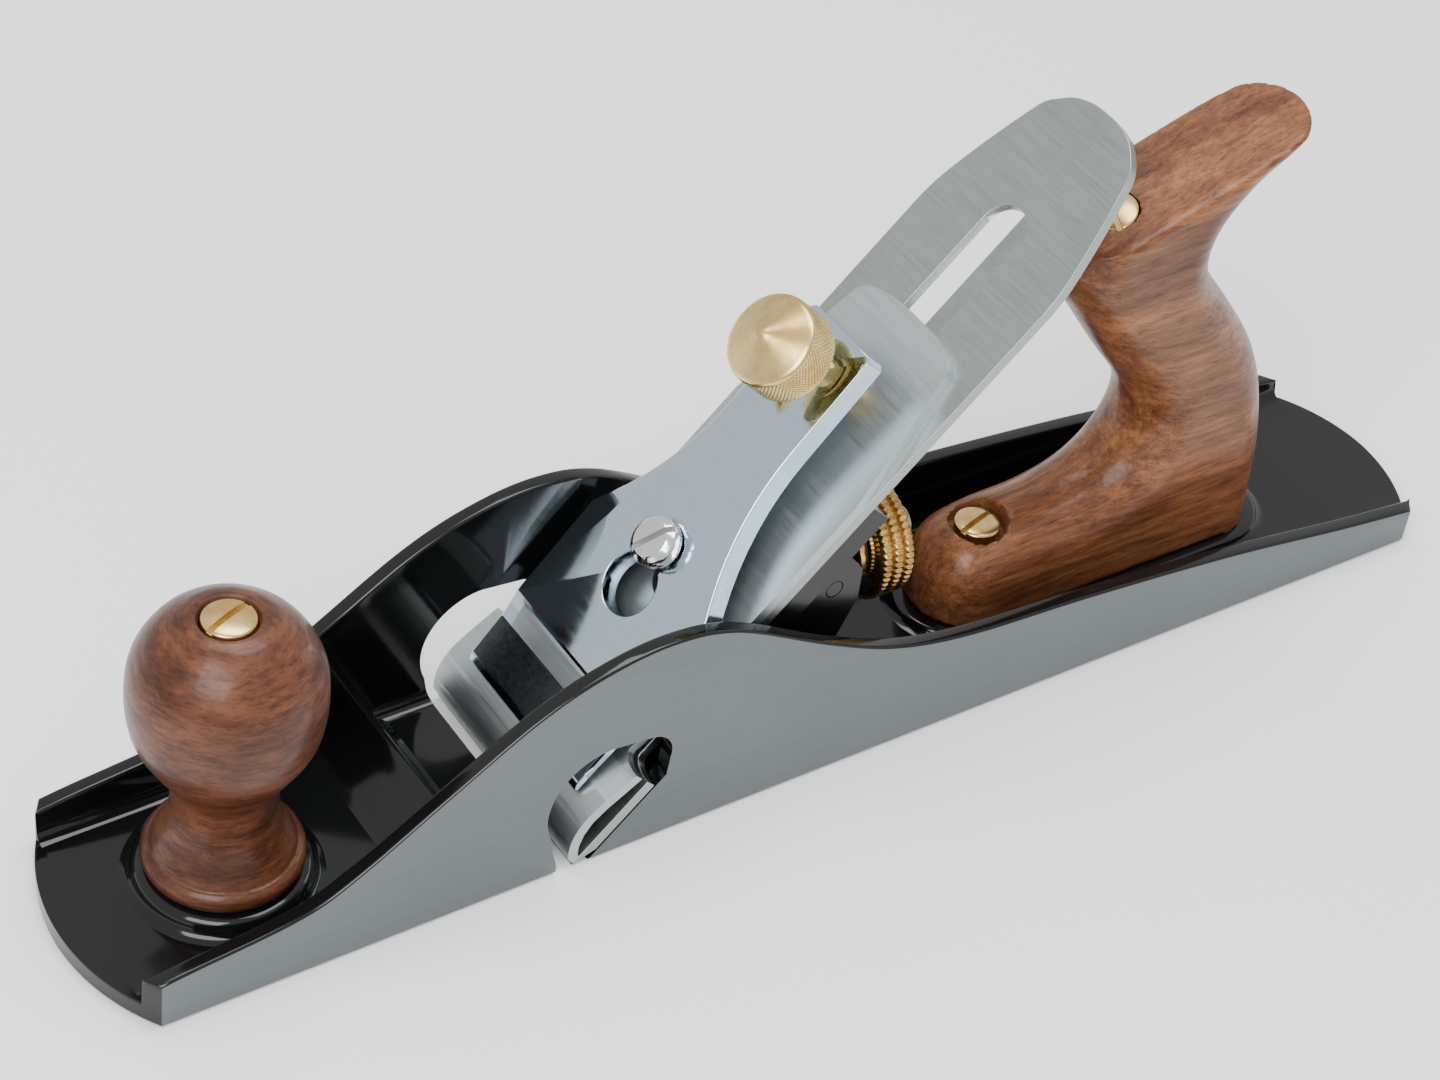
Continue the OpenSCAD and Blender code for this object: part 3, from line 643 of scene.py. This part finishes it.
def tote_solid(p):
    """Positive inside the tote: full round edges, a flat sloping top, and holes for its nut and screw."""
    x, y, z = p[..., 0], np.abs(p[..., 1]), p[..., 2]
    half = (box("tote")[1][1] - box("tote")[0][1]) / 2
    outline = spline(TOTE_BACK, 5) + spline(TOTE_FRONT, 5)
    deep = distance_inside(outline, x, z)
    reach = 10.5
    left = np.maximum(reach - deep, 0) / reach
    grip = reach * (1 - np.sqrt(left**2 + np.maximum(y / half, 0) ** 2))
    side = half - y
    solid = np.minimum(np.where(deep > reach, np.minimum(side, deep), grip), side + 0.4)
    (ax, az), (bx, bz) = TOTE_TOP
    run = math.hypot(bx - ax, bz - az)
    below_top = ((bz - az) * (x - ax) - (bx - ax) * (z - az)) / run
    solid = soft_min(solid, below_top, 1.2)
    solid = np.minimum(solid, z - box("tote")[0][2])
    nut_x, _, nut_z = NUT_AT
    lean = math.radians(27)
    along = -(x - nut_x) * math.sin(lean) + (z - nut_z) * math.cos(lean)
    aside = np.hypot((x - nut_x) * math.cos(lean) + (z - nut_z) * math.sin(lean), y)
    hole = np.maximum(aside - 5.5, -3.4 - along)
    solid = soft_min(solid, hole, 0.5)
    screw_x = middle("tote_toe_screw")[0]
    hole = np.maximum(np.hypot(x - screw_x, y) - 6.4, 21.5 - z)
    return soft_min(solid, hole, 0.5)


NUT_AT = (67.5, 0, 101)
low, high = box("tote")
net = surface_net(tote_solid, low - 1.3, high + 1.3, 0.9)
make("tote_shaped", Shape().add(*net), [TOTE_WOOD], "root", ["tote"], sharp=60)


# ---------- Nuts and screws of the handles ----------
def slotted(radius, height, dome, at, slot=1.3, depth=1.3, turn=0.0):
    """A domed head with a screwdriver slot, its top at the height given."""
    crown = [(radius * math.cos(a), height - dome + dome * math.sin(a))
             for a in np.radians(range(15, 90, 15))]
    outline = [(0, 0), (radius, 0), (radius, height - dome), *crown, (0, height)]
    key = [(-radius - 1, -slot / 2), (radius + 1, -slot / 2), (radius + 1, slot / 2), (-radius - 1, slot / 2)]
    at = at @ Matrix.Rotation(math.radians(turn), 4, "Z")
    return moved(lathe(outline, 48), at), moved(prism(key, height - depth, height + 2), at)


def slotted_piece(name, look, body, slot_name, node, *head, **more):
    head, key = slotted(*head, **more)
    piece = make(name, Shape().add(*head), [look], body, [node])
    cut(piece, key)
    round_off(piece, 0.14)
    return piece


slotted_piece("knob_nut_slotted", BRASS, "root", "brass", "knob_nut",
              5.3, 4.6, 0.9, Matrix.Translation((middle("knob")[0], 0, knob_top - 4)), turn=20)
tote_axis = Matrix.Translation(NUT_AT) @ Matrix.Rotation(math.radians(-27), 4, "Y")
slotted_piece("tote_nut_slotted", BRASS, "root", "brass", "tote_nut",
              5.2, 3.8, 0.8, tote_axis @ Matrix.Translation((0, 0, -3)), turn=70)
screw_low = box("tote_toe_screw")[1][2] - 3.6
slotted_piece("tote_toe_screw_slotted", BRASS, "root", "brass", "tote_toe_screw", 5, 3.6, 0.8,
              Matrix.Translation((middle("tote_toe_screw")[0], 0, screw_low)), turn=15)


# ---------- Thumbscrew and depth wheel ----------
def knurl(teeth, depth, low, high, lean=0.0):
    """Fine teeth round a rim between two heights, straight or leaning."""
    def ridge(angle, height):
        if not low <= height <= high:
            return 0
        fade = min(1, (height - low) / 0.3, (high - height) / 0.3)
        wave = math.cos(teeth * angle + lean * height)
        if lean:
            wave = max(wave, math.cos(teeth * angle - lean * height))
        return depth * fade * (0.5 - 0.5 * wave)
    return ridge


THUMB_R = (box("thumbscrew")[1][1] - box("thumbscrew")[0][1]) / 2
THUMB_RIM = 9.2
THUMB_CROWN = 3.6
THUMB_UP_BED = 102.1
THUMB_OFF_BED = 25.2
rim = [(0, 0), (6, 0), (THUMB_R - 1.2, 0), (THUMB_R - 0.5, 0.15), (THUMB_R - 0.1, 0.6), (THUMB_R, 0.9)]
rim += [(THUMB_R, h) for h in np.arange(1.1, THUMB_RIM - 0.8, 0.22)]
rim += [(THUMB_R, THUMB_RIM - 0.8), (THUMB_R - 0.15, THUMB_RIM - 0.4), (THUMB_R - 0.6, THUMB_RIM - 0.05),
        (THUMB_R - 1.1, THUMB_RIM + 0.15)]
rim += [(THUMB_R - 1.1 - 7.8 * t, THUMB_RIM + 0.15 + (THUMB_CROWN - 0.4) * t)
        for t in (0.2, 0.4, 0.6, 0.8, 0.92)]
rim += [(0.55, THUMB_RIM + THUMB_CROWN - 0.08), (0, THUMB_RIM + THUMB_CROWN)]
make("thumbscrew_knurled", Shape().add(*lathe(rim, 420, knurl(70, 0.32, 0.9, THUMB_RIM - 0.8, 5.5)),
                                       at=on_bed(THUMB_UP_BED, THUMB_OFF_BED)),
     [BRASS], "thumb_head", ["thumbscrew"], sharp=50)

wheel_low, wheel_high = box("depth_wheel")
WHEEL_R = (wheel_high[2] - wheel_low[2]) / 2
WHEEL_T = wheel_high[0] - wheel_low[0]
WHEEL_STEPS = 336


def wheel_rim():
    """Three rounded ridges with grooves between them."""
    ridge = WHEEL_T / 3
    line = [(5.15, 0), (9, 0), (9.4, 0.5), (11.6, 0.5), (12.2, 0.05)]
    for r in range(3):
        for t in np.linspace(0.04, 0.96, 15):
            line.append((WHEEL_R - 1.5 * abs(2 * t - 1) ** 3, ridge * (r + t)))
    return line + [(12.2, WHEEL_T - 0.05), (11.6, WHEEL_T - 0.5), (9.4, WHEEL_T - 0.5), (9, WHEEL_T),
                   (5.15, WHEEL_T)]


def wheel_knurl(angle, height):
    across_ridge = (height / (WHEEL_T / 3)) % 1
    crest = max(0, 1 - abs(2 * across_ridge - 1) ** 4)
    return 0.42 * crest * (0.5 - 0.5 * math.cos(56 * angle)) if 0.2 < height < WHEEL_T - 0.2 else 0


line = wheel_rim()
points, faces = lathe(line, WHEEL_STEPS, wheel_knurl)
faces = faces[:-2]
last = (len(line) - 1) * WHEEL_STEPS
for i in range(WHEEL_STEPS):
    j = (i + 1) % WHEEL_STEPS
    faces.append((last + i, last + j, j, i))
wheel_at = placed((wheel_low[0], 0, middle("depth_wheel")[2]), (1, 0, 0))
make("depth_wheel_knurled", Shape().add(points, faces, at=wheel_at), [BRASS_OLD], "depth_wheel",
     ["depth_wheel"], sharp=50)


# ---------- Lever cap's plain band ----------
def cap_band():
    """A recess above the toe of the lever cap, coloured dark as a painted reflection of the black casting,
    and a plain raised band over it.
    """
    shape = Shape()
    recess = [(12, 11), (12, 11.45), (21.6, 12.3), (21.6, 11.5)]
    # look 0 paints the recess dark, as a painted reflection of the black casting.
    shape.add(*across(recess, 20.6), look=0, at=BED)
    band = [(21.9, 11.8), (21.9, 12.7), (26.9, 14.05), (26.9, 13.3)]
    shape.add(*across(band, 16.8), look=1, at=BED)
    return shape


make("lever_cap_band", cap_band(), [CAP_PAINTED_REFLECTION, CAP_IRON_STEEL], "lever_cap", bevel=0.12)


# ---------- Floor, light and camera ----------
def floor():
    side = 40
    mesh = bpy.data.meshes.new("floor")
    steps = [((x - 4) * side / 8, (y - 4) * side / 8, -0.0005) for y in range(9) for x in range(9)]
    mesh.from_pydata(steps, [], [(y * 9 + x, y * 9 + x + 1, y * 9 + x + 10, y * 9 + x + 9)
                                 for y in range(8) for x in range(8)])
    look = Look("pale_floor", Roughness=0.9)
    cloud = look.noise(look.stretched((3, 3, 3)))
    look.colour(look.ramp(cloud, (0.3, (0.88, 0.88, 0.88)), (0.7, (0.9, 0.9, 0.9))))
    mesh.materials.append(look.material)
    piece = bpy.data.objects.new("floor", mesh)
    bpy.context.scene.collection.objects.link(piece)


def lamp(name, place, aim, size, power, colour=(1, 1, 1)):
    light = bpy.data.lights.new(name, "AREA")
    light.shape = "RECTANGLE"
    light.size, light.size_y = size
    light.energy = power
    light.color = colour
    holder = bpy.data.objects.new(name, light)
    holder.matrix_world = placed(Vector(place) * MM, Vector(place) - Vector(aim))
    bpy.context.scene.collection.objects.link(holder)


floor()
world = bpy.data.worlds.new("studio")
world.use_nodes = True
world.node_tree.nodes["Background"].inputs["Color"].default_value = (1, 1, 1, 1)
world.node_tree.nodes["Background"].inputs["Strength"].default_value = 1.0
bpy.context.scene.world = world
lamp("key", (-700, -500, 900), (0, 0, 40), (0.7, 0.7), 14)
lamp("top", (150, 100, 1100), (0, 0, 40), (0.9, 0.5), 10)


def camera():
    """Looks down at the toe and the near cheek, turned a little about its own axis."""
    azimuth, height, roll = (math.radians(a) for a in (-36.66, 40.98, 7.18))
    back = Vector((math.sin(azimuth) * math.cos(height), -math.cos(azimuth) * math.cos(height),
                   math.sin(height)))
    right = (-back).cross(Vector((0, 0, 1))).normalized()
    up = right.cross(-back)
    right, up = math.cos(roll) * right + math.sin(roll) * up, math.cos(roll) * up - math.sin(roll) * right
    data = bpy.data.cameras.new("camera")
    data.sensor_width = 36
    data.lens = 84.67
    data.shift_x = 0.067
    data.shift_y = -0.0172
    data.clip_end = 100
    holder = bpy.data.objects.new("camera", data)
    place = (Vector((-44.74, 0, 62.80)) + back * 655.55) * MM
    turn = Matrix((right, up, back)).transposed().to_4x4()
    holder.matrix_world = Matrix.Translation(place) @ turn
    bpy.context.scene.collection.objects.link(holder)
    bpy.context.scene.camera = holder


camera()
